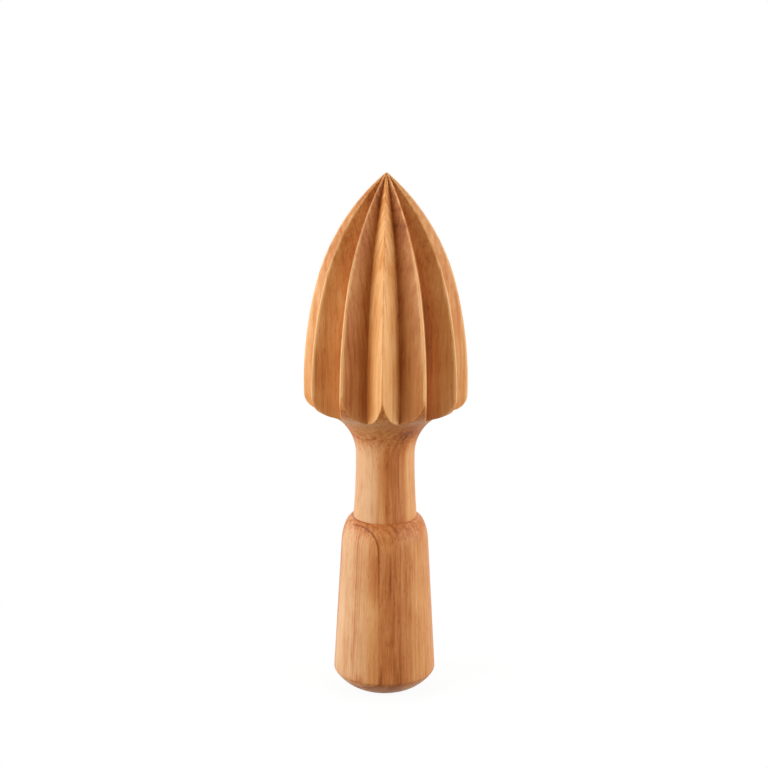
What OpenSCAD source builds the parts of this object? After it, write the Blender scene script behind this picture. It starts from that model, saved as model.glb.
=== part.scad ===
// Wooden lemon reamer: a fluted head on a waisted neck, joined to a turned handle by a glued dowel.
// Millimetres. The axis is Z, the foot stands on Z = 0, and one ridge of the head points to -Y.

/* [Head] */
// Height of the head, from the level of its underside to the tip
head_len = 75.3; // [68:0.1:90]
// Largest diameter of the head, over the ridges
head_d = 52.6; // [46:0.1:62]
// Distance of the largest diameter below the tip
widest_below_tip = 67.7; // [60:0.1:72]
// Radius of the long curve of the sides
belly_r = 128; // [115:1:200]
// Radius of the curve that closes the sides to the tip
nose_r = 69.5; // [55:0.5:85]
// Radius of the rounded lower corner
corner_r = 4.6; // [2:0.1:7]

/* [Flutes] */
// Number of flutes around the head
flutes = 12; // [8:1:16]
// Angle between the two walls of a flute
flute_angle = 90; // [80:1:100]
// Width of the narrow land that stays on each ridge
ridge_land = 0.8; // [0.5:0.05:1.5]
// Angle at which the two cutter passes of a flute cross
pass_angle = 1.2; // [1:0.1:2]

/* [Neck] */
// Length of the neck, from the mouth of the handle to the underside of the head
neck_len = 36.4; // [30:0.1:60]
// Diameter of the waist
neck_d = 19; // [16:0.1:24]
// Diameter of the neck where it enters the handle
neck_foot_d = 20.7; // [17:0.1:25]
// Radius of the cove between the waist and the head
cove_r = 15.7; // [8:0.1:20]

/* [Handle] */
// Height of the handle, from the foot to its mouth
handle_len = 58.3; // [45:0.1:120]
// Diameter of the tapered side at the level of the mouth, before the shoulder is rounded
handle_top_d = 27.4; // [25:0.1:34]
// Diameter of the tapered side at its lower end
handle_d = 33.5; // [28:0.1:44]
// Height of the rounded shoulder below the mouth
shoulder_h = 8.6; // [4:0.1:16]
// Width of the flat lip around the mouth
mouth_lip = 0.2; // [0.1:0.05:0.6]
// Height of the domed base, up to the lower end of the side
base_h = 5.8; // [3:0.1:10]
// Radius of the dome of the base
dome_r = 14.3; // [9:0.1:40]
// Radius of the eased edge between the base and the side
edge_r = 1.9; // [0.5:0.1:4]
// Diameter of the flat foot that the reamer stands on
foot_d = 20; // [12:0.5:24]

/* [Joint] */
// Diameter of the dowel
dowel_d = 10; // [6:0.5:12]
// Length of the dowel
dowel_len = 40; // [24:1:50]
// Number of grooves along the dowel
dowel_grooves = 16; // [8:1:20]
// Depth of a groove
groove_depth = 0.5; // [0.2:0.05:0.8]
// Chamfer on each end of the dowel
dowel_chamfer = 1.2; // [0.5:0.1:2]
// Depth of the seat in the handle that the foot of the neck stands in
seat_depth = 4; // [2:0.5:8]
// Glue gap around the dowel and around the foot of the neck
glue_gap = 0.1; // [0.05:0.05:0.3]
// Room for glue past each end of the dowel
glue_well = 1; // [0.5:0.1:3]

/* [Hidden] */

$fn = 64;
head_colour = "#c98d57";
handle_colour = "#c4874f";
dowel_colour = "#e0c193";

// Largest distance between a curve and the chord that stands for it
chord_error = 0.03;
// Even steps on a curve that follows a formula
curve_steps = 12;
// How far a cutter runs on past the wood
overrun = 4;
// How far the nose pass of a flute reaches back below the crossing of the two passes
pass_overlap = 2.5;

seat_z = handle_len - seat_depth;
underside_z = handle_len + neck_len;
tip = [0, underside_z + head_len];
neck_r = neck_d / 2;
neck_foot_r = neck_foot_d / 2;
mouth_r = neck_foot_r + glue_gap;
bore_d = dowel_d + 2 * glue_gap;
bore_len = dowel_len / 2 + glue_well;

// Unit vector at an angle, the angle of a vector, and the angle of an arc of a given length
function dir(a) = [cos(a), sin(a)];
function angle_of(v) = atan2(v[1], v[0]);
function arc_angle(len, r) = len / r * 180 / PI;

// Points along an arc, close enough together for the chord error
function arc(c, r, from, to) =
    let (steps = max(2, ceil(abs(to - from) / (2 * acos(1 - chord_error / r)))))
    [for (i = [0 : steps]) c + r * dir(from + (to - from) * i / steps)];

// The point to the left of the way from a to b that lies ra from a and rb from b
function meet(a, ra, b, rb) =
    let (d = norm(b - a), u = (b - a) / d, x = (d * d + ra * ra - rb * rb) / (2 * d))
    a + x * u + sqrt(ra * ra - x * x) * [-u[1], u[0]];

// Centre of the circle through three points
function centre(a, b, c) =
    let (p = b - a, q = c - a, w = 2 * (p[0] * q[1] - p[1] * q[0]))
    a + [q[1] * (p * p) - p[1] * (q * q), p[0] * (q * q) - q[0] * (p * p)] / w;

// Outline of the turned head: the belly arc runs on into the nose arc, which ends at the tip
belly_c = [head_d / 2 - belly_r, tip[1] - widest_below_tip];
arc_gap = belly_r - nose_r;
to_belly = belly_c - tip;
join_cos = (nose_r * nose_r - to_belly * to_belly - arc_gap * arc_gap) / (2 * arc_gap * norm(to_belly));
join_a = angle_of(to_belly) + acos(join_cos);
nose_c = belly_c + arc_gap * dir(join_a);
tip_a = angle_of(tip - nose_c);

// The rounded corner touches the belly from inside and the cove from outside
cove_c = [neck_r + cove_r, underside_z - cove_r];
corner_c = meet(belly_c, belly_r - corner_r, cove_c, cove_r + corner_r);
corner_from_a = angle_of(corner_c - belly_c);
corner_to_a = angle_of(cove_c - corner_c);

// Bottom of a flute, in the flute's own middle plane, that leaves the land on a point of the outline
half_pitch = 180 / flutes;
wall_tan = tan(flute_angle / 2);
function flute_bottom(c, r, a) =
    let (p = c + r * dir(a), half = half_pitch - arc_angle(ridge_land / 2, p[0]))
    [p[0] * cos(half), p[1]] - dir(a) * p[0] * sin(half) / wall_tan;

// The belly pass of the cutter follows the belly arc, from under the head to the joint with the nose
pass_low = flute_bottom(belly_c, belly_r, corner_from_a);
pass_mid = flute_bottom(belly_c, belly_r, (corner_from_a + join_a) / 2);
pass_join = flute_bottom(belly_c, belly_r, join_a);
belly_pass_c = centre(pass_low, pass_mid, pass_join);
belly_pass_r = norm(pass_low - belly_pass_c);
belly_pass_from_a = asin((underside_z - overrun - belly_pass_c[1]) / belly_pass_r);
belly_pass_to_a = angle_of(pass_join - belly_pass_c);

// The nose pass goes on from there, and runs out where the lands close up around the tip
run_out_r = ridge_land * flutes / (2 * PI);
run_out = nose_c + nose_r * dir(acos((run_out_r - nose_c[0]) / nose_r));
nose_pass_from_a = belly_pass_to_a + pass_angle;
nose_pass_chord = run_out - pass_join;
nose_pass_r = norm(nose_pass_chord) / (2 * sin(angle_of(nose_pass_chord) - nose_pass_from_a - 90));
nose_pass_c = pass_join - nose_pass_r * dir(nose_pass_from_a);
nose_pass_to_a = angle_of(run_out - nose_pass_c);

// Side of the handle: a straight taper from the base up to the shoulder
taper = (handle_top_d - handle_d) / 2 / (handle_len - base_h);
side_up = [taper, 1] / norm([taper, 1]);
side_out = [side_up[1], -side_up[0]];

// Base of the handle: a dome between the foot and the side, with the edge eased
foot_rim = [foot_d / 2, 0];
side_foot = [handle_d / 2, base_h];
dome_c = meet(foot_rim, dome_r, side_foot, dome_r);
edge_in = side_foot - edge_r * side_out - dome_c;
edge_dot = edge_in * side_up;
edge_rise = -edge_dot - sqrt(edge_dot * edge_dot - edge_in * edge_in + pow(dome_r - edge_r, 2));
edge_c = dome_c + edge_in + edge_rise * side_up;
edge_a = angle_of(edge_c - dome_c);

// The neck widens from the waist to its foot
function neck_flare() = [
    for (i = [1 : curve_steps])
        let (t = i / curve_steps)
        [neck_r + (neck_foot_r - neck_r) * t * t, cove_c[1] + (handle_len - cove_c[1]) * t]
];

// The shoulder draws the taper in to the mouth along a quarter of an ellipse
function shoulder() = [
    for (i = [0 : curve_steps])
        let (a = 90 * i / curve_steps, drop = shoulder_h * (1 - sin(a)))
        [handle_top_d / 2 - taper * drop - (handle_top_d / 2 - mouth_r - mouth_lip) * (1 - cos(a)),
         handle_len - drop]
];

// One pass of the V-shaped cutter along an arc in the XZ plane, repeated for every flute
module flute_passes(c, r, from, to) {
    reach = head_d / 4;
    for (i = [0 : flutes - 1])
        rotate((2 * i + 1) * half_pitch - 90) translate([c[0], 0, c[1]]) rotate([90, 0, 0]) rotate(from)
            rotate_extrude(angle = to - from, $fn = 180)
                polygon([[r, 0], [r + reach, -reach * wall_tan], [r + reach, reach * wall_tan]]);
}

// Blind bore for half of the dowel, drilled from the seat towards +Z
module dowel_bore() {
    translate([0, 0, -overrun]) cylinder(d = bore_d, h = bore_len + overrun);
}

module turned_head() {
    rotate_extrude() polygon(concat(
        arc(nose_c, nose_r, tip_a, join_a),
        arc(belly_c, belly_r, join_a, corner_from_a),
        arc(corner_c, corner_r, corner_from_a, corner_to_a),
        arc(cove_c, cove_r, corner_to_a + 180, 180),
        neck_flare(),
        [[neck_foot_r, seat_z], [0, seat_z]]));
}

module belly_fluted_head() {
    difference() {
        turned_head();
        flute_passes(belly_pass_c, belly_pass_r, belly_pass_from_a,
            belly_pass_to_a + arc_angle(overrun, belly_pass_r));
    }
}

module reamer_head() {
    color(head_colour) difference() {
        belly_fluted_head();
        flute_passes(nose_pass_c, nose_pass_r, nose_pass_from_a - arc_angle(pass_overlap, nose_pass_r),
            nose_pass_to_a + arc_angle(overrun, nose_pass_r));
        translate([0, 0, seat_z]) dowel_bore();
    }
}

module handle() {
    color(handle_colour) difference() {
        rotate_extrude() polygon(concat(
            arc(dome_c, dome_r, angle_of(foot_rim - dome_c), edge_a),
            arc(edge_c, edge_r, edge_a, angle_of(side_out)),
            shoulder(),
            [[0, handle_len], [0, 0]]));
        translate([0, 0, seat_z]) cylinder(r = mouth_r, h = seat_depth + overrun);
        translate([0, 0, seat_z]) mirror([0, 0, 1]) dowel_bore();
    }
}

module joint_dowel() {
    dowel_r = dowel_d / 2;
    end_r = dowel_r - dowel_chamfer / 2;
    color(dowel_colour) translate([0, 0, seat_z - dowel_len / 2]) difference() {
        rotate_extrude() polygon([
            [0, 0], [end_r, 0], [dowel_r, dowel_chamfer],
            [dowel_r, dowel_len - dowel_chamfer], [end_r, dowel_len], [0, dowel_len]]);
        for (i = [0 : dowel_grooves - 1])
            rotate(i * 360 / dowel_grooves) translate([dowel_r, 0, -overrun])
                cylinder(r = groove_depth, h = dowel_len + 2 * overrun);
    }
}

reamer_head();
handle();
joint_dowel();
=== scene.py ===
"""Wooden lemon reamer: the looks of a fluted head, a turned handle and their hidden dowel.

The file is laid out as an add-on and is run as a script. It models the two wooden pieces over the
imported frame, dresses them in oiled fruitwood and sets up the stage. Sizes are in metres, patterns in the
wood are in millimetres, and the axis is Z.
"""

import math
from typing import NamedTuple

import bpy
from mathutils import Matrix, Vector


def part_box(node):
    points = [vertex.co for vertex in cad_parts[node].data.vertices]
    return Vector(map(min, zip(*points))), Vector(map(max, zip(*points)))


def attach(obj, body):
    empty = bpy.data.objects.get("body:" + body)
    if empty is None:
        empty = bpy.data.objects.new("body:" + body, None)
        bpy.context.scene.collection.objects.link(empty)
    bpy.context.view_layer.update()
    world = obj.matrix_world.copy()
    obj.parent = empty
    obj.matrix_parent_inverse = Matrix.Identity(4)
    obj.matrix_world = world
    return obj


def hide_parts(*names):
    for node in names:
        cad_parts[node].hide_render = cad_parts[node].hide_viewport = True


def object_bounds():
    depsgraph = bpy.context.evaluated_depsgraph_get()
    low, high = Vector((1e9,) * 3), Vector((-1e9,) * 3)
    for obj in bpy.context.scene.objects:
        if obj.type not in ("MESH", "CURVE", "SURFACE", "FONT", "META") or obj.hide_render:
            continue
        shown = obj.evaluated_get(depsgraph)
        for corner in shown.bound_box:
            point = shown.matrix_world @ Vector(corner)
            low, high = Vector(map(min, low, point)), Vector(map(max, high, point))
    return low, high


bl_info = {
    "name": "Wooden Lemon Reamer",
    "version": (1, 0, 0),
    "blender": (4, 5, 0),
    "location": "View3D > Sidebar > Reamer",
    "description": "Models a fluted wooden lemon reamer with its handle, joint and stage",
    "category": "Object",
}

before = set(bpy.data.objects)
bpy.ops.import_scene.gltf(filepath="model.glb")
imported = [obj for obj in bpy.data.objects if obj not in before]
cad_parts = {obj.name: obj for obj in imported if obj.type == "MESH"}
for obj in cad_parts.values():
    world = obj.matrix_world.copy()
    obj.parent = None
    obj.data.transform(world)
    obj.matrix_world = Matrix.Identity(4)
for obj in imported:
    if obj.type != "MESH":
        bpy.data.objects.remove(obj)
CAD_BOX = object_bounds()
HEAD_LOW, HEAD_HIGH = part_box("reamer_head")
HANDLE_LOW, HANDLE_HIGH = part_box("handle")
DOWEL_LOW, DOWEL_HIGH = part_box("joint_dowel")
DOWEL_R = (DOWEL_HIGH.x - DOWEL_LOW.x) / 2

BODY = "root"
MM = 0.001
# Vertices closer together than this are one vertex
WELD = 2e-6
# Edges that turn more than this stay crisp
CRISP_ANGLE = math.radians(50)
# The axis that pieces are turned about
TURNING = {"center": (0, 0, 0), "axis": (0, 0, 1)}


def length(name, text, millimetres):
    """A size that is given in millimetres and kept in metres."""
    return bpy.props.FloatProperty(
        name=name, description=text, default=millimetres * MM, min=0, precision=5, unit="LENGTH")


def angle(name, text, degrees):
    """An angle that is given in degrees and kept in radians."""
    return bpy.props.FloatProperty(
        name=name, description=text, default=math.radians(degrees), unit="ROTATION")


def colour(name, text, red, green, blue):
    """A colour with linear components."""
    return bpy.props.FloatVectorProperty(
        name=name, description=text, default=(red, green, blue), min=0, max=1, subtype="COLOR")


def number(name, text, value):
    """A plain number."""
    return bpy.props.FloatProperty(name=name, description=text, default=value)


class HeadSizes(bpy.types.PropertyGroup):
    """Sizes of the fluted head and the neck under it."""

    head_len: length("Head length", "From the level of the underside to the tip", 75.3)
    head_d: length("Head diameter", "Largest diameter over the ridges", 52.6)
    widest_below_tip: length("Widest below tip", "Distance of the largest diameter below the tip", 67.7)
    belly_r: length("Belly radius", "Radius of the long curve of the sides", 128)
    nose_r: length("Nose radius", "Radius of the curve that closes the sides to the tip", 69.5)
    corner_r: length("Corner radius", "Radius of the rounded lower corner", 4.6)
    front_foot_r: length("Front foot radius", "Radius of the worn corner of the front ridge", 11.2)
    left_foot_r: length("Left foot radius", "Radius of the worn corner of the ridge to its left", 11)
    right_foot_r: length("Right foot radius", "Radius of the worn corner of the ridge to its right", 9.8)
    next_foot_r: length("Next foot radius", "Radius of the worn corners of the next ridges", 7.5)
    tip_ease: length("Tip rounding", "How far from the axis the tip is rounded", 0.2)
    flutes: bpy.props.IntProperty(
        name="Flutes", description="Number of flutes", default=12, min=8, max=24)
    flute_angle: angle("Flute angle", "Angle between the two walls of a flute", 90)
    pass_angle: angle("Pass angle", "Angle at which the two cutter passes of a flute cross", 1.2)
    ridge_land: length("Ridge land", "Width of the narrow land on each ridge", 0.5)
    ridge_ease: length("Ridge rounding", "Wood taken off each side of a ridge's edge", 0.32)
    valley_ease: length("Valley rounding", "Rounding left by the cutter in a flute's bottom", 0.2)
    neck_d: length("Neck diameter", "Diameter of the waist", 19)
    neck_foot_d: length("Neck foot diameter", "Diameter of the neck where it enters the handle", 20.7)
    cove_r: length("Cove radius", "Radius of the cove between the waist and the head", 15.7)


class HandleSizes(bpy.types.PropertyGroup):
    """Sizes of the tapered handle."""

    top_d: length("Top diameter", "Diameter of the taper at the mouth, before the shoulder", 27.4)
    side_d: length("Side diameter", "Diameter of the taper at its lower end", 33.5)
    shoulder_h: length("Shoulder height", "Height of the rounded shoulder below the mouth", 8.6)
    base_h: length("Base height", "Height of the domed base", 5.8)
    dome_r: length("Dome radius", "Radius of the dome of the base", 14.3)
    edge_r: length("Edge radius", "Radius of the eased edge between base and side", 1.9)
    foot_d: length("Foot diameter", "Diameter of the flat foot", 20)


class JointSizes(bpy.types.PropertyGroup):
    """Sizes of the glued joint between head and handle."""

    glue_gap: length("Glue gap", "Gap around the dowel and around the foot of the neck", 0.1)
    glue_well: length("Glue well", "Room for glue past each end of the dowel", 1)
    seam: length("Seam", "Width of the glue line that shows at the mouth of the handle", 0.02)
    lip_ease: length("Lip rounding", "Rounding of the lip around the mouth", 0.08)


class WoodColours(bpy.types.PropertyGroup):
    """Colours of the oiled fruitwood and of the dowel."""

    line: colour("Ring line", "Dark line at the end of a growth ring", 0.19, 0.048, 0.007)
    dark: colour("Dark wood", "Reddish heart of the stick", 0.40, 0.116, 0.020)
    middle: colour("Middle wood", "Main colour", 0.53, 0.210, 0.052)
    pale: colour("Pale wood", "Wood between dark streaks and on rubbed edges", 0.70, 0.385, 0.158)
    sap: colour("Sapwood", "Pale outer side of the stick", 0.60, 0.362, 0.192)
    sap_pale: colour("Pale sapwood", "Palest streaks of the outer side", 0.68, 0.448, 0.262)
    dowel_dark: colour("Dowel dark", "Flecks of the dowel", 0.52, 0.330, 0.160)
    dowel_pale: colour("Dowel pale", "Main colour of the dowel", 0.76, 0.560, 0.340)


class StageSettings(bpy.types.PropertyGroup):
    """Camera, lamps and background."""

    azimuth: angle("Azimuth", "Turn of the camera about the axis", 2.17)
    elevation: angle("Elevation", "Height of the camera above the horizon", 13.2)
    roll: angle("Roll", "Turn of the camera about its own view", 0.25)
    distance: length("Distance", "From the camera to its target", 528)
    target_z: length("Target height", "Height of the camera's target on the axis", 102.1)
    aside: length("Aside", "How far the view passes to the left of the axis", 0.52)
    lens: number("Lens", "Focal length in millimetres on a 36 mm sensor", 77.2)
    left_power: number("Left softbox", "Power of the left softbox in watts", 6.15)
    right_power: number("Right softbox", "Power of the right softbox in watts", 5.2)
    back_power: number("Back softbox", "Power of the softbox behind in watts", 3.0)
    left_azimuth: angle("Left azimuth", "Turn of the left softbox from the front", -69)
    right_azimuth: angle("Right azimuth", "Turn of the right softbox from the front", 75)
    ambient: number("Ambient", "Light from all around", 0.06)


class ReamerSettings(bpy.types.PropertyGroup):
    """All settings of the reamer."""

    head: bpy.props.PointerProperty(type=HeadSizes)
    handle: bpy.props.PointerProperty(type=HandleSizes)
    joint: bpy.props.PointerProperty(type=JointSizes)
    wood: bpy.props.PointerProperty(type=WoodColours)
    stage: bpy.props.PointerProperty(type=StageSettings)


# Plane geometry in the turning plane: x is the distance from the axis and y the height


def polar(turn):
    """Unit vector at an angle."""
    return Vector((math.cos(turn), math.sin(turn)))


def angle_of(vector):
    """Angle of a plane vector."""
    return math.atan2(vector.y, vector.x)


def arc(centre, radius, start, end, steps):
    """Points along an arc, both ends included."""
    return [centre + radius * polar(start + (end - start) * i / steps) for i in range(steps + 1)]


def meet(a, reach_a, b, reach_b):
    """The point to the left of the way from a to b at the given distances from both."""
    way = b - a
    along = (way.length_squared + reach_a**2 - reach_b**2) / (2 * way.length)
    unit = way.normalized()
    return a + along * unit + math.sqrt(reach_a**2 - along**2) * Vector((-unit.y, unit.x))


def circle_centre(a, b, c):
    """Centre of the circle through three points."""
    p, q = b - a, c - a
    twice = 2 * (p.x * q.y - p.y * q.x)
    pp, qq = p.length_squared, q.length_squared
    return a + Vector((q.y * pp - p.y * qq, p.x * qq - q.x * pp)) / twice


def on_ring(ring, turn):
    """Point of a ring at an angle about the axis."""
    return Vector((ring.x * math.cos(turn), ring.x * math.sin(turn), ring.y))


def bow(start, corner, end, steps):
    """Points of a rounded corner after its start: a curve that touches both sides."""
    points = []
    for i in range(1, steps + 1):
        t = i / steps
        points.append((1 - t)**2 * start + 2 * t * (1 - t) * corner + t**2 * end)
    return points


def root_of(function, low, high, halvings=50):
    """Where a function that changes its sign once is zero, by halving the stretch so many times."""
    sign = function(low) > 0
    for _ in range(halvings):
        middle = (low + high) / 2
        if (function(middle) > 0) == sign:
            low = middle
        else:
            high = middle
    return (low + high) / 2


class CutterPass(NamedTuple):
    """One pass of the V cutter along an arc, in the middle plane of a flute."""

    centre: Vector
    radius: float
    wall_tan: float

    def edge_turn(self, ring, half_pitch):
        """Angle from the flute's middle to where the wall leaves a ring of the turned outline."""

        def above_wall(turn):
            place = Vector((ring.x * math.cos(turn), ring.y))
            return (place - self.centre).length - self.radius - ring.x * math.sin(turn) / self.wall_tan

        if above_wall(0) <= 0:
            return 0
        return root_of(above_wall, 0, half_pitch)

    def bottom(self, place):
        """Bottom of the flute under a place on its wall, measured square to the cutter's way."""
        return self.centre + self.radius * (Vector((place.x, place.z)) - self.centre).normalized()


class HeadShape:
    """Outline of the turned head and the way of the flute cutter, from the sizes."""

    # Steps along each stretch of the outline, from the tip down
    NOSE_STEPS = 76
    BELLY_STEPS = 52
    FOOT_STEPS = 6
    CORNER_STEPS = 22
    EXIT_STEPS = 16
    COVE_STEPS = 28
    FLARE_STEPS = 14
    # The feet begin this angle above the most worn one, on the belly's arc
    FOOT_LEAD = 0.004
    # Columns of half a flute, from the middle of a ridge to the bottom of the flute
    LAND_PARTS = (0, 0.45, 0.8, 0.94, 1)
    LAND_COLUMNS = len(LAND_PARTS) - 1
    EASE_COLUMNS = 4
    WALL_PARTS = (0.06, 0.14, 0.28, 0.5, 0.75, 0.93, 1)
    VALLEY_COLUMNS = 2
    COLUMNS = LAND_COLUMNS + EASE_COLUMNS + len(WALL_PARTS) + VALLEY_COLUMNS
    # An eased edge takes at most these shares of a wall and of half a land
    WALL_SHARE = 0.3
    LAND_SHARE = 0.9
    # The rounding of the tip ends at this many times its own size from the axis
    TIP_REACH = 4

    def __init__(self, sizes, joint):
        self.sizes = sizes
        self.half_pitch = math.pi / sizes.flutes
        self.wall_tan = math.tan(sizes.flute_angle / 2)
        self.tip = Vector((0, HEAD_HIGH.z))
        self.underside_z = self.tip.y - sizes.head_len
        self.bore_r = DOWEL_R + joint.glue_gap
        self.bore_top = DOWEL_HIGH.z + joint.glue_well
        self.turn_outline()
        self.lay_passes()

    def turn_outline(self):
        """Belly and nose arcs of the sides, and the middle of the cove."""
        s = self.sizes
        self.belly_c = Vector((s.head_d / 2 - s.belly_r, self.tip.y - s.widest_below_tip))
        gap = s.belly_r - s.nose_r
        to_belly = self.belly_c - self.tip
        cosine = (s.nose_r**2 - to_belly.length_squared - gap**2) / (2 * gap * to_belly.length)
        self.join_a = angle_of(to_belly) + math.acos(cosine)
        self.nose_c = self.belly_c + gap * polar(self.join_a)
        self.tip_a = angle_of(self.tip - self.nose_c)
        self.cove_c = Vector((s.neck_d / 2 + s.cove_r, self.underside_z - s.cove_r))

    def corner(self, radius):
        """Centre, start and end of a rounded lower corner, which touches the belly and the cove."""
        centre = meet(self.belly_c, self.sizes.belly_r - radius, self.cove_c, self.sizes.cove_r + radius)
        return centre, angle_of(centre - self.belly_c), angle_of(self.cove_c - centre)

    def flute_bottom(self, turn):
        """Bottom of a flute that leaves the land at a point of the belly arc."""
        point = self.belly_c + self.sizes.belly_r * polar(turn)
        half = self.half_pitch - self.sizes.ridge_land / 2 / point.x
        inner = Vector((point.x * math.cos(half), point.y))
        return inner - polar(turn) * point.x * math.sin(half) / self.wall_tan

    def lay_passes(self):
        """The belly pass and the nose pass of the cutter, which cross where the two arcs join."""
        s = self.sizes
        corner_from = self.corner(s.corner_r)[1]
        low = self.flute_bottom(corner_from)
        middle = self.flute_bottom((corner_from + self.join_a) / 2)
        join = self.flute_bottom(self.join_a)
        centre = circle_centre(low, middle, join)
        self.belly_pass = CutterPass(centre, (low - centre).length, self.wall_tan)
        run_out_r = s.ridge_land * s.flutes / (2 * math.pi)
        run_out = self.nose_c + s.nose_r * polar(math.acos((run_out_r - self.nose_c.x) / s.nose_r))
        start = angle_of(join - centre) + s.pass_angle
        chord = run_out - join
        radius = chord.length / (2 * math.sin(angle_of(chord) - start - math.pi / 2))
        self.nose_pass = CutterPass(join - radius * polar(start), radius, self.wall_tan)

    def fluted_rings(self, foot_r):
        """Rings from the tip to where the flutes run out under the head, each with its cutter pass.

        All ridges have as many rings, and the same ones down to where the most worn foot begins."""
        s = self.sizes
        foot_from = self.corner(s.front_foot_r)[1] + self.FOOT_LEAD
        centre, start, end = self.corner(foot_r)
        nose = arc(self.nose_c, s.nose_r, self.tip_a, self.join_a, self.NOSE_STEPS)
        belly = arc(self.belly_c, s.belly_r, self.join_a, foot_from, self.BELLY_STEPS)
        foot = arc(self.belly_c, s.belly_r, foot_from, start, self.FOOT_STEPS)
        corner = arc(centre, foot_r, start, end, self.CORNER_STEPS)
        under = arc(self.cove_c, s.cove_r, end + math.pi, self.exit_turn(), self.EXIT_STEPS)
        return ([(ring, self.nose_pass) for ring in nose]
                + [(ring, self.belly_pass) for ring in belly[1:] + foot[1:] + corner[1:] + under[1:]])

    def exit_turn(self):
        """Angle on the cove at which the bottom of a flute comes out of the wood."""
        cut = self.belly_pass

        def outside(turn):
            return (self.cove_c + self.sizes.cove_r * polar(turn) - cut.centre).length - cut.radius

        return root_of(outside, self.corner(self.sizes.corner_r)[2] + math.pi, math.pi)

    def plain_rings(self):
        """Rings below the flutes: the rest of the cove, the neck, its foot and the dowel's bore."""
        s = self.sizes
        cove = arc(self.cove_c, s.cove_r, self.exit_turn(), math.pi, self.COVE_STEPS)
        neck_r, foot_r = s.neck_d / 2, s.neck_foot_d / 2
        drop = HANDLE_HIGH.z - self.cove_c.y
        flare = []
        for i in range(1, self.FLARE_STEPS + 1):
            part = i / self.FLARE_STEPS
            flare.append(Vector((neck_r + (foot_r - neck_r) * part**2, self.cove_c.y + drop * part)))
        inside = [Vector((foot_r, HEAD_LOW.z)), Vector((self.bore_r, HEAD_LOW.z)),
                  Vector((self.bore_r, self.bore_top)), Vector((0, self.bore_top))]
        return cove[1:] + flare + inside

    def valley(self, ring, cut):
        """Bottom of the flute beside a ring of a plain ridge."""
        turn = cut.edge_turn(ring, self.half_pitch)
        edge = on_ring(ring, turn)
        if turn == 0:
            return edge
        foot = cut.bottom(edge)
        return Vector((foot.x, 0, foot.y))

    def section(self, ring, cut, valley):
        """Points over half a flute on one ring, from the ridge to the bottom, with both edges eased.

        They are in the flute's own frame: x lies in its middle plane and y points to the ridge."""
        s = self.sizes
        turn = cut.edge_turn(ring, self.half_pitch)
        edge = on_ring(ring, turn)
        wall = valley - edge
        land_len = ring.x * (self.half_pitch - turn)
        ease = min(s.ridge_ease, wall.length * self.WALL_SHARE)
        # A land that is wider than the common one, as on a foot, is eased less
        spare = land_len - s.ridge_land / 2
        land_ease = min(ease, land_len * self.LAND_SHARE, max(ease / 2, ease - spare))
        round_in = min(s.valley_ease, wall.length * self.WALL_SHARE)
        land_end = turn + (land_ease / ring.x if ring.x > 0 else 0)
        land_turn = land_end - self.half_pitch
        points = [on_ring(ring, self.half_pitch + land_turn * part) for part in self.LAND_PARTS]
        way = wall.normalized() if wall.length > 0 else Vector((0, 0, 0))
        wall_top, wall_end = edge + ease * way, valley - round_in * way
        points += bow(points[-1], edge, wall_top, self.EASE_COLUMNS)
        points += [wall_top.lerp(wall_end, part) for part in self.WALL_PARTS]
        across = Vector((wall_end.x, -wall_end.y, wall_end.z))
        points += bow(wall_end, valley, across, 2 * self.VALLEY_COLUMNS)[:self.VALLEY_COLUMNS]
        return points

    def plain_section(self, ring):
        """Points over half a flute on a ring without flutes."""
        parts = [self.LAND_PARTS[min(i, self.LAND_COLUMNS)] for i in range(self.COLUMNS + 1)]
        return [on_ring(ring, self.half_pitch * (1 - part)) for part in parts]

    def sections(self, foot_r):
        """All rings of half a flute, from the tip to the end of the bore, for a ridge with this foot.

        The bottoms of the flutes are those beside a plain ridge, so that all ridges meet there."""
        rows = []
        plain_rings = self.fluted_rings(self.sizes.corner_r)
        for (ring, cut), (plain_ring, plain_cut) in zip(self.fluted_rings(foot_r), plain_rings):
            valley = self.valley(plain_ring, plain_cut)
            row = self.section(ring, cut, valley)
            row[-1] = self.section(plain_ring, plain_cut, valley)[-1]
            rows.append(row)
        self.fluted_count = len(rows)
        self.foot_row = self.NOSE_STEPS + self.BELLY_STEPS + self.FOOT_STEPS
        for row in rows:
            for point in row:
                self.ease_tip(point)
        return rows + [self.plain_section(ring) for ring in self.plain_rings()]

    def ease_tip(self, point):
        """Lowers what is close to the axis, so that the tip is round."""
        ease = self.sizes.tip_ease
        out = math.hypot(point.x, point.y)
        slope = 1 / math.tan(self.tip_a)
        rounded = math.hypot(out, ease)
        point.z -= slope * max(0, rounded - out) * max(0, 1 - out / (self.TIP_REACH * ease))


# Steps along each stretch of the handle's outline, from the foot up
DOME_STEPS, EDGE_STEPS, SIDE_STEPS, SHOULDER_STEPS, LIP_STEPS = 14, 8, 16, 24, 3
# A ring at this share of the foot's radius keeps the flat foot flat in its shading
FOOT_RING = 0.97


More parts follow.
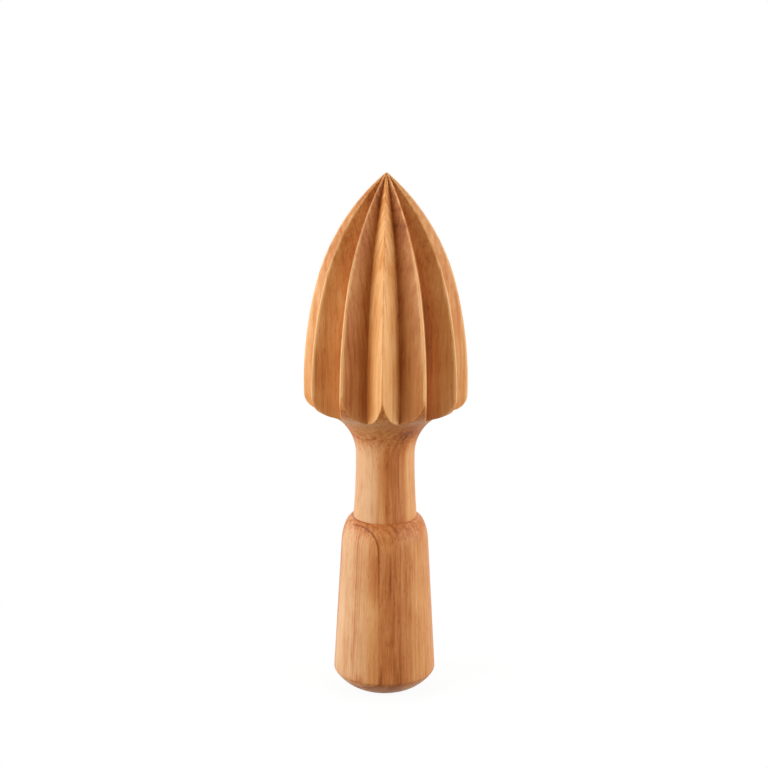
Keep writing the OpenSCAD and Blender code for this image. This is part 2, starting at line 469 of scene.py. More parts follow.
def handle_outline(sizes, head, joint):
    """Outline of the handle, from the middle of the foot up the side and down into the bore."""
    mouth_z, foot_z = HANDLE_HIGH.z, HANDLE_LOW.z
    mouth_r = head.neck_foot_d / 2 + joint.seam
    seat_z = HEAD_LOW.z
    bore_r = DOWEL_R + joint.glue_gap
    bore_z = DOWEL_LOW.z - joint.glue_well
    taper = (sizes.top_d - sizes.side_d) / 2 / (mouth_z - foot_z - sizes.base_h)
    side_up = Vector((taper, 1)).normalized()
    side_out = Vector((side_up.y, -side_up.x))
    foot_rim = Vector((sizes.foot_d / 2, foot_z))
    side_foot = Vector((sizes.side_d / 2, foot_z + sizes.base_h))
    dome_c = meet(foot_rim, sizes.dome_r, side_foot, sizes.dome_r)
    # The eased edge touches the dome from inside and the side
    inner = side_foot - sizes.edge_r * side_out - dome_c
    along = inner.dot(side_up)
    rise = -along - math.sqrt(along**2 - inner.length_squared + (sizes.dome_r - sizes.edge_r)**2)
    edge_c = dome_c + inner + rise * side_up
    edge_a = angle_of(edge_c - dome_c)
    points = [Vector((0, foot_z)), Vector((foot_rim.x * FOOT_RING, foot_z))]
    points += arc(dome_c, sizes.dome_r, angle_of(foot_rim - dome_c), edge_a, DOME_STEPS)
    points += arc(edge_c, sizes.edge_r, edge_a, angle_of(side_out), EDGE_STEPS)[1:]
    shoulder_foot = Vector((sizes.top_d / 2 - taper * sizes.shoulder_h, mouth_z - sizes.shoulder_h))
    points += [points[-1].lerp(shoulder_foot, i / SIDE_STEPS) for i in range(1, SIDE_STEPS)]
    for i in range(SHOULDER_STEPS + 1):
        turn = math.pi / 2 * i / SHOULDER_STEPS
        drop = sizes.shoulder_h * (1 - math.sin(turn))
        pull = (sizes.top_d / 2 - mouth_r - joint.lip_ease) * (1 - math.cos(turn))
        points.append(Vector((sizes.top_d / 2 - taper * drop - pull, mouth_z - drop)))
    lip_corner = Vector((mouth_r, mouth_z))
    points += bow(points[-1], lip_corner, Vector((mouth_r, mouth_z - joint.lip_ease)), LIP_STEPS)
    points += [Vector((mouth_r, seat_z)), Vector((bore_r, seat_z))]
    return points + [Vector((bore_r, bore_z)), Vector((0, bore_z))]


# Modelling steps


def start_piece(name, add, **values):
    """Adds a primitive with nothing else selected and gives it its name."""
    bpy.ops.object.select_all(action="DESELECT")
    add(**values)
    piece = bpy.context.active_object
    piece.name = name
    piece.data.name = name
    return piece


def close_and_smooth(piece):
    """Merges what meets, points all faces outwards and shades the piece smooth between crisp edges."""
    bpy.ops.object.mode_set(mode="EDIT")
    bpy.ops.mesh.select_all(action="SELECT")
    bpy.ops.mesh.remove_doubles(threshold=WELD)
    bpy.ops.mesh.dissolve_degenerate(threshold=WELD / 2)
    bpy.ops.mesh.select_all(action="SELECT")
    bpy.ops.mesh.normals_make_consistent(inside=False)
    bpy.ops.object.mode_set(mode="OBJECT")
    bpy.ops.object.shade_smooth_by_angle(angle=CRISP_ANGLE)
    if any(edge.is_loose for edge in piece.data.edges):
        raise RuntimeError(f"{piece.name} has loose edges")


def dress(piece, node, material):
    """Puts a finished piece in the place of its CAD node."""
    piece.data.materials.clear()
    piece.data.materials.append(material)
    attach(piece, BODY)
    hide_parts(node)


# Shader maths


class Pattern(NamedTuple):
    """Noise in the wood."""

    across: float  # Waves per millimetre across the grain
    along: float  # Waves per millimetre along the grain
    detail: int  # How many finer waves lie on it
    start: float  # Where it starts, so that no two patterns are alike
    weight: float  # How far it moves the growth rings, in millimetres, or the tone


# Way in which the starts of patterns lie
START_WAY = (1, 0.7, 0.3)


class Field:
    """A value over a surface. Arithmetic on it adds Math nodes to its tree."""

    def __init__(self, tree, socket):
        self.tree = tree
        self.socket = socket

    def node(self, kind, settings=None, inputs=None, output=0):
        """Adds a node, sets it up, feeds its sockets with values or fields and gives an output."""
        made = self.tree.nodes.new(kind)
        for name, value in (settings or {}).items():
            if name == "stops":
                set_stops(made.color_ramp, value)
            else:
                setattr(made, name, value)
        for name, value in (inputs or {}).items():
            if isinstance(value, Field):
                self.tree.links.new(value.socket, made.inputs[name])
            else:
                made.inputs[name].default_value = value
        return Field(self.tree, made.outputs[output])

    def math(self, operation, *values):
        """A Math node on these values."""
        return self.node("ShaderNodeMath", {"operation": operation}, dict(enumerate(values)))

    def __add__(self, other):
        return self.math("ADD", self, other)

    def __radd__(self, other):
        return self.math("ADD", other, self)

    def __sub__(self, other):
        return self.math("SUBTRACT", self, other)

    def __rsub__(self, other):
        return self.math("SUBTRACT", other, self)

    def __mul__(self, other):
        return self.math("MULTIPLY", self, other)

    def __rmul__(self, other):
        return self.math("MULTIPLY", other, self)

    def __truediv__(self, other):
        return self.math("DIVIDE", self, other)

    def __abs__(self):
        return self.math("ABSOLUTE", self)

    def larger(self, other):
        """The larger of two values."""
        return self.math("MAXIMUM", self, other)

    def step(self, low, high):
        """Rises smoothly from 0 to 1 between two values."""
        return self.node("ShaderNodeMapRange", {"interpolation_type": "SMOOTHSTEP"},
                         {"Value": self, "From Min": low, "From Max": high})

    def ramp(self, stops):
        """Colour of this value on a ramp of (place, colour) stops."""
        return self.node("ShaderNodeValToRGB", {"stops": stops}, {"Fac": self})

    def mapped(self, scale, shift=(0, 0, 0)):
        """A vector that is scaled and shifted."""
        return self.node("ShaderNodeMapping", {}, {"Vector": self, "Scale": scale, "Location": shift})

    def part(self, axis):
        """One component of a vector."""
        return self.node("ShaderNodeSeparateXYZ", {}, {"Vector": self}, axis)

    def towards(self, azimuth, rise=0.0):
        """How far a place lies from the axis towards an azimuth, plus so much for each unit of height."""
        way = (math.sin(azimuth), -math.cos(azimuth), rise)
        return self.node("ShaderNodeVectorMath", {"operation": "DOT_PRODUCT"}, {0: self, 1: way}, "Value")

    def near(self, value, half):
        """1 at a value, falling smoothly to 0 so far on either side of it."""
        return 1 - abs(self - value).step(0, half)

    def blend(self, shade, other):
        """A colour that goes from one to another as this value goes from 0 to 1."""
        return self.node("ShaderNodeMix", {"data_type": "RGBA"}, {0: self, 6: shade, 7: other}, 2)

    def noise(self, pattern):
        """Noise about 0.5 that is drawn out along Z."""
        scale = (pattern.across, pattern.across, pattern.along)
        place = self.mapped(scale, [pattern.start * part for part in START_WAY])
        return self.node("ShaderNodeTexNoise", {}, {"Vector": place, "Scale": 1.0, "Detail": pattern.detail})

    def swing(self, pattern):
        """Noise about 0 that is drawn out along Z."""
        return self.noise(pattern) - 0.5


def set_stops(ramp, stops):
    """Sets a colour ramp's stops."""
    while len(ramp.elements) < len(stops):
        ramp.elements.new(1)
    for element, (place, shade) in zip(ramp.elements, stops):
        element.position = place
        element.color = (*shade[:3], 1)


def new_material(name):
    """A material, its shader and the place on the piece in millimetres."""
    material = bpy.data.materials.new(name)
    material.use_nodes = True
    tree = material.node_tree
    coordinates = tree.nodes.new("ShaderNodeTexCoord")
    place = Field(tree, coordinates.outputs["Object"]).mapped((1 / MM, 1 / MM, 1 / MM))
    return material, tree.nodes["Principled BSDF"], place


def feed(place, shader, inputs):
    """Feeds fields into the sockets of the surface shader."""
    for name, field in inputs.items():
        place.tree.links.new(field.socket, shader.inputs[name])


# Patterns of the fruitwood
SLOW_WANDER = Pattern(0.045, 0.012, 1, 3.1, 4)
QUICK_WANDER = Pattern(0.3, 0.03, 2, 7.3, 0.8)
BROAD = Pattern(0.09, 0.015, 2, 11.9, 0.5)
PATCHES = Pattern(0.1, 0.09, 2, 4.4, 0.35)
STREAKS = Pattern(0.75, 0.02, 3, 5.7, 0.5)
FIBRES = Pattern(2.4, 0.07, 2, 1.3, 0.35)
PORES = Pattern(3.6, 0.4, 0, 9.1, 0.15)
MOTTLE = Pattern(0.9, 0.9, 3, 2.2, 0.6)
# Noise between which a pore begins and is full
PORE_EDGE = (0.66, 0.78)

# Growth rings of the stick: how far apart they are and how far off their middle is
RING_SPACING = 1.55
PITH_DISTANCE = 51.5
# Parts of a ring over which its late wood darkens and ends, and how strong the faintest ring is
LATE_WOOD, RING_END = (0.45, 0.9), (0.92, 1.0)
FAINTEST_RING = 0.25

# Tone of plain wood on a scale from the dark ring lines at 0 to the palest wood at 1
PLAIN_TONE = 0.55
# How much a surface faces up or down where end grain begins and is full, and the same for down alone
END_GRAIN, FACING_DOWN = (0.12, 0.55), (0.5, 0.95)
# How much darker end grain is, and how much more so in its rings and pores
END_DARK, END_RINGS, END_PORES = 0.19, 0.08, 0.2
# Share of the dark heart that is lost in end grain
END_HEART_LOSS = 0.6
# End grain is paler by this much towards the sapwood, between these distances from the axis
SIDE_PALE, PALE_SIDE = 0.1, (6, 11)
# Heights between which the domed foot ends, and the shares of end grain and sapwood that it lacks
FOOT_TOP = (3, 8)
FOOT_GRAIN_LOSS, FOOT_SAP_LOSS = 0.8, 0.6
# How far the colour of the sapwood shows: all around, and on the pale side or towards the bark, where it is
# partly pale sapwood and partly a painted highlight on the side the left softbox lights
AROUND_SHARE, SAP_AND_HIGHLIGHT_SHARE = 0.17, 0.78
# Distances towards the bark between which the rays come up, their strength and how it changes
RAY_SIDE = (0, 4)
RAY_STRENGTH, RAY_CHANGE = 0.6, 3
# How far the ridges' wear, painted highlight and painted shade move the tone, and how much more in pale
# streaks
WEAR_AND_LIGHT_PALE, WEAR_AND_LIGHT_STREAKS = 0.37, 0.5

# Oiled finish, and how fibres, pores and end grain change its roughness
OIL = {"Specular IOR Level": 0.22, "Sheen Weight": 0.04, "Sheen Roughness": 0.4}
OIL_ROUGHNESS, FIBRE_SMOOTH, PORE_ROUGH, END_ROUGH = 0.44, 0.3, 0.2, 0.1
# Height of the fibres and depth of pores and rings, as shares of the relief
FIBRE_HEIGHT, PORE_DEPTH, RING_DEPTH = 0.8, 0.7, 0.25
RELIEF, OIL_BUMP = 0.06 * MM, 0.35

# Raw beech
DOWEL_FIBRES = Pattern(2.6, 0.06, 2, 4.2, 0.8)
DOWEL_FLECKS = Pattern(3.2, 0.5, 0, 8.8, 0.55)
FLECK_EDGE, FLECK_DEPTH = (0.62, 0.7), 0.4
BEECH_TONE, BEECH_ROUGHNESS, BEECH_BUMP = 0.75, 0.66, 0.4


class Cut(NamedTuple):
    """How a piece was cut from the stick. Azimuths are in degrees from -Y, and depths go to the bark."""

    bark: float  # Azimuth of the bark
    rise: float  # How far the rings come in for each millimetre of height
    sap: float  # Azimuth of the pale sapwood
    sap_rise: float  # Azimuth of the pale sapwood, which is partly a painted highlight on the lit side
    sap_from: tuple  # Depths towards the sapwood between which it begins
    sap_top: tuple  # Heights between which the sapwood ends
    outer: tuple  # Depths between which the wood grows paler towards the bark
    heart: tuple  # Depths where the dark heart begins, is full, is still full and has ended
    heart_dark: float  # How dark the heart is
    rings: float  # How dark the common rings are
    wander: float  # How far the rings wander off
    under: float  # How much paler it is painted where it faces down, painted light on the undersides
    wear_and_light: bool  # Whether the piece has ridges worn pale, with painted highlight on them and painted shade in the flutes
    marks: list  # Single rings, and on the head also painted shade: depth, half width, how dark, height and reach up and down
    rays: list  # Thin red lines along the rays: place beside the bark, half width and how dark


HEAD_CUT = Cut(
    bark=-42, rise=0, sap=-62, sap_rise=0, sap_from=(4.2, 8.6), sap_top=(79, 90), outer=(30, 40),
    heart=(1, 3.5, 6.5, 8), heart_dark=0.25, rings=0.12, wander=1.0, under=0.3, wear_and_light=True,
    # The last two marks are not rings but painted shade on the walls beside the ridges at 60 degrees to
    # either side
    marks=[(7.2, 0.7, 0.12, 60, 60), (14, 4.5, 0.2, 149, 18), (4, 4, -0.1, 148, 24), (-4, 5.5, 0.2, 108, 28),
           (22.8, 3, 0.14, 106, 18)],
    rays=[])
HANDLE_CUT = Cut(
    bark=-40, rise=0.051, sap=-80, sap_rise=0.0316, sap_from=(12.45, 13.0), sap_top=(70, 90),
    outer=(14.95, 17.6), heart=(4, 11, 14.75, 15.1), heart_dark=0.19, rings=0.14, wander=0.12, under=0.2,
    wear_and_light=False,
    marks=[(14.89, 0.26, 0.42, 54, 24), (12.85, 0.35, 0.3, 41, 13), (15.5, 1.0, 0.2, 45, 16),
           (14.5, 0.45, 0.34, 6, 8), (16.6, 0.4, 0.2, 5, 5), (11.3, 0.35, 0.24, 7, 7),
           (10.4, 0.25, 0.14, 6, 6)],
    rays=[(-0.07, 0.25, 0.14), (0.92, 0.4, 0.28), (1.8, 0.2, 0.1), (2.65, 0.35, 0.2)])


def ring_lines(depth):
    """Dark late wood at the end of each growth ring, stronger on some rings than on others."""
    ring = depth / RING_SPACING
    part = ring.math("FRACT", ring)
    count = ring.math("FLOOR", ring)
    strength = ring.node("ShaderNodeTexWhiteNoise", {"noise_dimensions": "1D"}, {"W": count})
    late = part.step(*LATE_WOOD) * (1 - part.step(*RING_END))
    return late * (FAINTEST_RING + (1 - FAINTEST_RING) * strength * strength)


def relief(height, strength):
    """Bumps of the wood's surface."""
    return height.node("ShaderNodeBump", {}, {"Height": height, "Strength": strength, "Distance": RELIEF})


def fruitwood(name, colours, cut):
    """Oiled fruitwood: rings, streaks, pores, end grain and, on a worn piece, ridges worn pale with painted
    highlight on them and painted shade in the flutes.
    """
    material, shader, place = new_material(name)
    bark, sap_side = math.radians(cut.bark), math.radians(cut.sap)
    across, beside = place.towards(bark, cut.rise), place.towards(bark + math.pi / 2)
    height = place.part(2)
    wander = place.swing(SLOW_WANDER) * SLOW_WANDER.weight + place.swing(QUICK_WANDER) * QUICK_WANDER.weight
    wander = wander * cut.wander
    depth = across + beside * beside / (2 * PITH_DISTANCE) + wander
    lines = ring_lines(depth)
    below = 1 - height.step(*cut.sap_top)
    sap = (place.towards(sap_side, cut.sap_rise) + wander).step(*cut.sap_from) * below
    outer = depth.step(*cut.outer)
    heart = depth.step(*cut.heart[:2]) * (1 - depth.step(*cut.heart[2:]))

    broad, patches = place.swing(BROAD), place.swing(PATCHES)
    streaks, fibres = place.swing(STREAKS), place.swing(FIBRES)
    pores, mottle = place.noise(PORES).step(*PORE_EDGE), place.swing(MOTTLE)
    upright = place.node("ShaderNodeNewGeometry", {}, {}, "Normal").part(2)
    foot = 1 - height.step(*FOOT_TOP)
    end_grain = abs(upright).step(*END_GRAIN) * (1 - FOOT_GRAIN_LOSS * foot)
    end_pale = SIDE_PALE * place.towards(sap_side).step(*PALE_SIDE)

    tone = PLAIN_TONE - cut.heart_dark * heart * (1 - END_HEART_LOSS * end_grain)
    tone = tone + BROAD.weight * broad + PATCHES.weight * patches
    tone = tone + STREAKS.weight * streaks + FIBRES.weight * fibres - PORES.weight * pores
    # Surfaces that face down are painted paler by cut.under, as painted light
    tone = tone - lines * (cut.rings + END_RINGS * end_grain) + cut.under * (0 - upright).step(*FACING_DOWN)
    tone = tone + end_grain * (MOTTLE.weight * mottle - END_DARK + end_pale - END_PORES * pores)
    # Marks darken single rings, and on the head two of them are painted shade
    for mark, half, dark, middle, reach in cut.marks:
        tone = tone - dark * depth.near(mark, half) * height.near(middle, reach) * (1 - sap)
    for mark, half, dark in cut.rays:
        strength = RAY_STRENGTH + RAY_CHANGE * broad
        tone = tone - dark * beside.near(mark, half) * across.step(*RAY_SIDE) * strength
    if cut.wear_and_light:
        # This attribute holds wear and painted highlight on the ridges and painted shade at the bottoms of
        # the flutes
        wear_and_painted_light = place.node("ShaderNodeAttribute", {"attribute_name": "ridge_wear"}, {}, "Fac")
        tone = tone + wear_and_painted_light * (WEAR_AND_LIGHT_PALE + WEAR_AND_LIGHT_STREAKS * streaks)

    shade = tone.ramp([(0, colours.line), (0.3, colours.dark), (0.58, colours.middle), (1, colours.pale)])
    sap_shade = tone.ramp([(0.1, colours.dark), (0.55, colours.sap), (0.9, colours.sap_pale)])
    # The sapwood colour is partly pale sapwood and partly a painted highlight on the side that the left
    # softbox lights
    pale = below * AROUND_SHARE + sap * (SAP_AND_HIGHLIGHT_SHARE - AROUND_SHARE)
    pale = pale.larger(outer * SAP_AND_HIGHLIGHT_SHARE) * (1 - FOOT_SAP_LOSS * foot)
    for socket, value in OIL.items():
        shader.inputs[socket].default_value = value
    roughness = OIL_ROUGHNESS - FIBRE_SMOOTH * fibres + PORE_ROUGH * pores + END_ROUGH * end_grain
    bumps = relief(fibres * FIBRE_HEIGHT - pores * PORE_DEPTH - RING_DEPTH * lines, OIL_BUMP)
    feed(place, shader, {"Base Color": pale.blend(shade, sap_shade), "Roughness": roughness, "Normal": bumps})
    return material


def beech(name, colours):
    """Raw beech of the dowel: pale, with short dark flecks along the grain."""
    material, shader, place = new_material(name)
    fibres = place.swing(DOWEL_FIBRES)
    flecks = place.noise(DOWEL_FLECKS).step(*FLECK_EDGE)
    tone = BEECH_TONE + DOWEL_FIBRES.weight * fibres - DOWEL_FLECKS.weight * flecks
    shade = tone.ramp([(0, colours.dowel_dark), (1, colours.dowel_pale)])
    bumps = relief(fibres - FLECK_DEPTH * flecks, BEECH_BUMP)
    roughness = BEECH_ROUGHNESS - FIBRE_SMOOTH * fibres
    feed(place, shader, {"Base Color": shade, "Roughness": roughness, "Normal": bumps})
    return material


# Fluted head


class RubAndPaintedLight(NamedTuple):
    """How pale a ridge is painted, partly from wear and partly as painted highlight and painted reflection.
    """

    wall: float
    edge: float


# The front ridge's walls are painted pale all over as a painted highlight, the two outermost ridges' walls by
# half as a painted reflection of the softboxes, and the edges of all ridges are pale partly from wear and
# partly as a painted highlight
FRONT_RUB_AND_PAINTED_LIGHT, OUTER_RUB_AND_PAINTED_LIGHT, SIDE_RUB_AND_PAINTED_LIGHT = RubAndPaintedLight(1.0, 0.92), RubAndPaintedLight(0.55, 1.4), RubAndPaintedLight(0.0, 1.4)
# Share of the paleness, wear and painted highlight, that is left on the edges of a foot, and the height over
# which it fades to that
FOOT_SHARE = 0.25
FOOT_FADE = 1.5 * MM
# A land of up to this half width is painted pale all over, a painted highlight over the shade of a land that
# faces the front, and one twice as wide only at its edges
NARROW_LAND = 0.15 * MM
# Share of a flute's wall at which the paleness of its edge, wear and painted highlight, has ended
EDGE_REACH = 0.08
# Share of the wall from which it is darkened towards the flute's bottom as painted shade, and how much it is
# darkened at the bottom
FLUTE_SHADE_FROM, FLUTE_SHADE_DARK = 0.7, 0.2


def ridge_tone_of(ring, column, shape, paleness):
    """Tone change on a ring of half a flute: above 0 where it is worn pale and painted as a highlight, below
    0 where painted shade darkens the flute's bottom.
    """
    if column < shape.LAND_COLUMNS:
        half_width = (ring[shape.LAND_COLUMNS] - ring[0]).length
        return paleness.edge * min(1, max(0, 2 - half_width / NARROW_LAND))
    wall = column - shape.LAND_COLUMNS - shape.EASE_COLUMNS
    if wall <= 0:
        return paleness.edge
    part = shape.WALL_PARTS[min(wall, len(shape.WALL_PARTS)) - 1]
    flute_shade = max(0, (part - FLUTE_SHADE_FROM) / (1 - FLUTE_SHADE_FROM))**2
    return max(paleness.wall * (1 - part**3), 1 - part / EDGE_REACH, 0) - FLUTE_SHADE_DARK * flute_shade


def model_ridges(name, shape, foot_r, paleness, first, count=1, outer=0):
    """Models half a ridge that points to -Y, mirrors it and repeats it around the axis.

    The first one is turned by so many pitches, and the neck below comes with them. The edge of the foot
    is as pale as the ridge on the side that outer gives, -1 for the left and 1 for the right."""
    rows = shape.sections(foot_r)
    ridges = start_piece(name, bpy.ops.mesh.primitive_grid_add, size=1,
                         x_subdivisions=shape.COLUMNS, y_subdivisions=len(rows) - 1)
    # A flute's middle plane lies half a pitch on from the ridge that points to -Y
    middle = shape.half_pitch - math.pi / 2
    radial, tangent = polar(middle), polar(middle - math.pi / 2)
    wear_and_light = ridges.data.attributes.new("ridge_wear", "FLOAT", "POINT")
    for vertex in ridges.data.vertices:
        column = round((vertex.co.x + 0.5) * shape.COLUMNS)
        row = round((0.5 - vertex.co.y) * (len(rows) - 1))
        point = rows[row][column]
        flat = point.x * radial + point.y * tangent
        vertex.co = (flat.x, flat.y, point.z)
        if row < shape.fluted_count:
            wear_and_light.data[vertex.index].value = ridge_tone_of(rows[row], column, shape, paleness)
    bpy.ops.object.modifier_add(type="MIRROR")
    ridges.modifiers["Mirror"].merge_threshold = WELD
    bpy.ops.object.modifier_apply(modifier="Mirror")
    wear_and_light = ridges.data.attributes["ridge_wear"]
    foot_z = rows[shape.foot_row][0].z
    for vertex in ridges.data.vertices:
        if vertex.co.x * outer <= 0:
            below_foot = min(1, max(0, foot_z - vertex.co.z) / FOOT_FADE)
            wear_and_light.data[vertex.index].value *= 1 - below_foot * (1 - max(paleness.wall, FOOT_SHARE))
    pitch = 2 * shape.half_pitch
    ridges.rotation_euler.z = first * pitch
    bpy.ops.object.transform_apply(location=False, rotation=True, scale=False)
    if count > 1:
        bpy.ops.object.mode_set(mode="EDIT")
        bpy.ops.mesh.select_all(action="SELECT")
        bpy.ops.mesh.spin(steps=count - 1, dupli=True, angle=-pitch * (count - 1), **TURNING)
        bpy.ops.object.mode_set(mode="OBJECT")
    return ridges


class REAMER_OT_head(bpy.types.Operator):
    """Model the fluted head with its cove and neck"""

    bl_idname = "reamer.head"
    bl_label = "Reamer Head"
    bl_options = {"REGISTER", "UNDO"}

    def execute(self, context):
        settings = context.scene.reamer
        sizes = settings.head
        shape = HeadShape(sizes, settings.joint)
        single = [model_ridges("front_ridge", shape, sizes.front_foot_r, FRONT_RUB_AND_PAINTED_LIGHT, 0),
                  model_ridges("left_ridge", shape, sizes.left_foot_r, SIDE_RUB_AND_PAINTED_LIGHT, -1, outer=-1),
                  model_ridges("right_ridge", shape, sizes.right_foot_r, SIDE_RUB_AND_PAINTED_LIGHT, 1, outer=1)]
        for side in (-1, 1):
            single += [model_ridges("next_ridge", shape, sizes.next_foot_r, SIDE_RUB_AND_PAINTED_LIGHT, 2 * side, outer=side),
                       model_ridges("outer_ridge", shape, sizes.corner_r, OUTER_RUB_AND_PAINTED_LIGHT, 3 * side)]
        # The plain ridges behind go on from the outer one on the right
        first, count = (len(single) + 1) // 2, sizes.flutes - len(single)
        head = model_ridges("fluted_head", shape, sizes.corner_r, SIDE_RUB_AND_PAINTED_LIGHT, first, count)
        for ridge in single:
            ridge.select_set(True)
        bpy.ops.object.join()
        close_and_smooth(head)
        dress(head, "reamer_head", fruitwood("head_fruitwood", settings.wood, HEAD_CUT))
        return {"FINISHED"}


# Handle and dowel


class REAMER_OT_handle(bpy.types.Operator):
    """Model the tapered handle with its shoulder and domed base"""

    bl_idname = "reamer.handle"
    bl_label = "Reamer Handle"
    bl_options = {"REGISTER", "UNDO"}

    SPIN_STEPS = 144

    def execute(self, context):
        settings = context.scene.reamer
        outline = handle_outline(settings.handle, settings.head, settings.joint)
        handle = start_piece("turned_handle", bpy.ops.mesh.primitive_plane_add, size=MM)
        bpy.ops.object.mode_set(mode="EDIT")
        bpy.ops.mesh.merge(type="CENTER")
        bpy.ops.transform.translate(value=(outline[0].x, 0, outline[0].y))
        for here, there in zip(outline, outline[1:]):
            way = there - here
            bpy.ops.mesh.extrude_region_move(TRANSFORM_OT_translate={"value": (way.x, 0, way.y)})
        bpy.ops.mesh.select_all(action="SELECT")
        bpy.ops.mesh.spin(steps=self.SPIN_STEPS, angle=2 * math.pi, **TURNING)
        bpy.ops.object.mode_set(mode="OBJECT")
        close_and_smooth(handle)
        dress(handle, "handle", fruitwood("handle_fruitwood", settings.wood, HANDLE_CUT))
        return {"FINISHED"}


class REAMER_OT_dowel(bpy.types.Operator):
    """Dress the hidden dowel in raw beech"""

    bl_idname = "reamer.dowel"
    bl_label = "Reamer Dowel"
    bl_options = {"REGISTER", "UNDO"}

    def execute(self, context):
        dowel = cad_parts["joint_dowel"]
        dowel.data.materials.clear()
        dowel.data.materials.append(beech("raw_beech", context.scene.reamer.wood))
        return {"FINISHED"}


# Stage

SENSOR_WIDTH = 36
# What is closer to the camera than this isn't drawn
NEAREST = 0.01
# Size of a softbox, its distance from the reamer's middle and its height above the horizon
SOFTBOX_SIZE, SOFTBOX_DISTANCE = (0.75, 0.45), 0.6
SIDE_ELEVATION, BACK_ELEVATION = math.radians(18), math.radians(38)
FLOOR_RADIUS, FLOOR_SIDES, FLOOR_ROUGHNESS = 1.2, 96, 0.9
# Shade of the floor, and the part of the light that it throws back onto the reamer
FLOOR_SHADE, FLOOR_BOUNCE = 0.9, 0.35
# Distances over which the floor fades to plain white, and how much of its own shade shows before
SHADOW_REACH = (0.03, 0.16)
SHADOW_SHARE = 0.07


def outward(azimuth, elevation):
    """Unit vector from the object towards a place around it; azimuth 0 is at -Y."""
    level = math.cos(elevation)
    return Vector((math.sin(azimuth) * level, -math.cos(azimuth) * level, math.sin(elevation)))


def place_camera(context, settings):
    """The camera at the photograph's angle."""
    bpy.ops.object.camera_add()
    camera = context.active_object
    camera.name = "camera"
    camera.data.lens = settings.lens
    camera.data.sensor_width = SENSOR_WIDTH
    camera.data.clip_start = NEAREST
    back = outward(settings.azimuth, settings.elevation)
    sideways = Vector((math.cos(settings.azimuth), math.sin(settings.azimuth), 0))
    target = Vector((0, 0, settings.target_z)) - settings.aside * sideways
    camera.location = target + settings.distance * back
    turn = (-back).to_track_quat("-Z", "Y").to_euler()
    turn.rotate_axis("Z", settings.roll)
    camera.rotation_euler = turn
    context.scene.camera = camera


def softbox(name, azimuth, elevation, power):
    """A rectangular lamp that faces the middle of the reamer."""
    bpy.ops.object.light_add(type="AREA")
    lamp = bpy.context.active_object
    lamp.name = name
    lamp.data.shape = "RECTANGLE"
    lamp.data.size, lamp.data.size_y = SOFTBOX_SIZE
    lamp.data.energy = power
    middle = (CAD_BOX[0] + CAD_BOX[1]) / 2
    back = outward(azimuth, elevation)
    lamp.location = middle + SOFTBOX_DISTANCE * back
    lamp.rotation_euler = (-back).to_track_quat("-Z", "Y").to_euler()


def seen_directly(tree):
    """1 for rays that show the background itself: from the camera, a gloss or a clear piece."""
    light_path = tree.nodes.new("ShaderNodeLightPath")
    camera, gloss, clear = [Field(tree, light_path.outputs[name])
                            for name in ("Is Camera Ray", "Is Glossy Ray", "Is Transmission Ray")]
    return camera.larger(gloss).larger(clear)


def light_stage(context, settings):
    """Softboxes on both sides and behind, and an even light that looks white to the camera."""
    softbox("left_softbox", settings.left_azimuth, SIDE_ELEVATION, settings.left_power)
    softbox("right_softbox", settings.right_azimuth, SIDE_ELEVATION, settings.right_power)
    softbox("back_softbox", math.pi, BACK_ELEVATION, settings.back_power)
    world = bpy.data.worlds.new("white_studio")
    context.scene.world = world
    world.use_nodes = True
    tree = world.node_tree
    background = tree.nodes["Background"]
    background.inputs["Color"].default_value = (1, 1, 1, 1)
    strength = settings.ambient + (1 - settings.ambient) * seen_directly(tree)
    tree.links.new(strength.socket, background.inputs["Strength"])


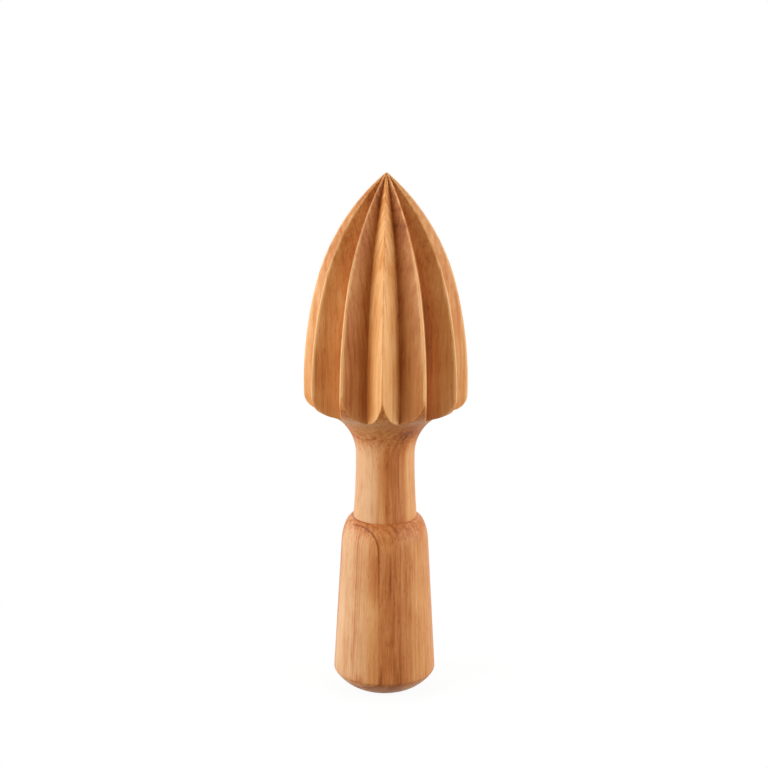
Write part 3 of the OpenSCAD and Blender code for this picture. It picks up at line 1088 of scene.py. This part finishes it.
def lay_floor():
    """A white floor under the foot that keeps a soft shadow and fades into the background."""
    floor = start_piece("floor", bpy.ops.mesh.primitive_circle_add, vertices=FLOOR_SIDES, radius=FLOOR_RADIUS,
                        fill_type="NGON")
    material = bpy.data.materials.new("white_floor")
    material.use_nodes = True
    tree = material.node_tree
    shader = tree.nodes["Principled BSDF"]
    shader.inputs["Roughness"].default_value = FLOOR_ROUGHNESS
    shader.inputs["Specular IOR Level"].default_value = 0
    shown = seen_directly(tree)
    feed(shown, shader, {"Base Color": FLOOR_BOUNCE + (FLOOR_SHADE - FLOOR_BOUNCE) * shown})
    glow = shown.node("ShaderNodeEmission", {}, {"Color": (1, 1, 1, 1), "Strength": 1.0})
    lit = Field(tree, shader.outputs["BSDF"])
    place = Field(tree, tree.nodes.new("ShaderNodeTexCoord").outputs["Object"])
    distance = place.node("ShaderNodeVectorMath", {"operation": "LENGTH"}, {0: place}, "Value")
    white = shown * (1 - SHADOW_SHARE + SHADOW_SHARE * distance.step(*SHADOW_REACH))
    mixed = shown.node("ShaderNodeMixShader", {}, {0: white, 1: lit, 2: glow})
    tree.links.new(mixed.socket, tree.nodes["Material Output"].inputs["Surface"])
    floor.data.materials.append(material)


class REAMER_OT_stage(bpy.types.Operator):
    """Set up the camera, the lamps, the floor and the white background"""

    bl_idname = "reamer.stage"
    bl_label = "Reamer Stage"
    bl_options = {"REGISTER", "UNDO"}

    def execute(self, context):
        settings = context.scene.reamer.stage
        place_camera(context, settings)
        light_stage(context, settings)
        lay_floor()
        context.scene.view_settings.view_transform = "Standard"
        return {"FINISHED"}


OPERATORS = (REAMER_OT_stage, REAMER_OT_head, REAMER_OT_handle, REAMER_OT_dowel)


class REAMER_PT_panel(bpy.types.Panel):
    """Sidebar panel of the reamer"""

    bl_idname = "REAMER_PT_panel"
    bl_label = "Lemon Reamer"
    bl_space_type = "VIEW_3D"
    bl_region_type = "UI"
    bl_category = "Reamer"

    def draw(self, context):
        settings = context.scene.reamer
        for operator in OPERATORS:
            self.layout.operator(operator.bl_idname)
        for group in (settings.head, settings.handle, settings.joint, settings.wood, settings.stage):
            box = self.layout.box()
            for name in group.bl_rna.properties.keys():
                if name not in ("rna_type", "name"):
                    box.prop(group, name)


CLASSES = (HeadSizes, HandleSizes, JointSizes, WoodColours, StageSettings, ReamerSettings,
           *OPERATORS, REAMER_PT_panel)


def register():
    for cls in CLASSES:
        bpy.utils.register_class(cls)
    bpy.types.Scene.reamer = bpy.props.PointerProperty(type=ReamerSettings)


def unregister():
    del bpy.types.Scene.reamer
    for cls in reversed(CLASSES):
        bpy.utils.unregister_class(cls)


def main():
    register()
    bpy.ops.reamer.stage()
    bpy.ops.reamer.head()
    bpy.ops.reamer.handle()
    bpy.ops.reamer.dowel()


if __name__ == "__main__":
    main()
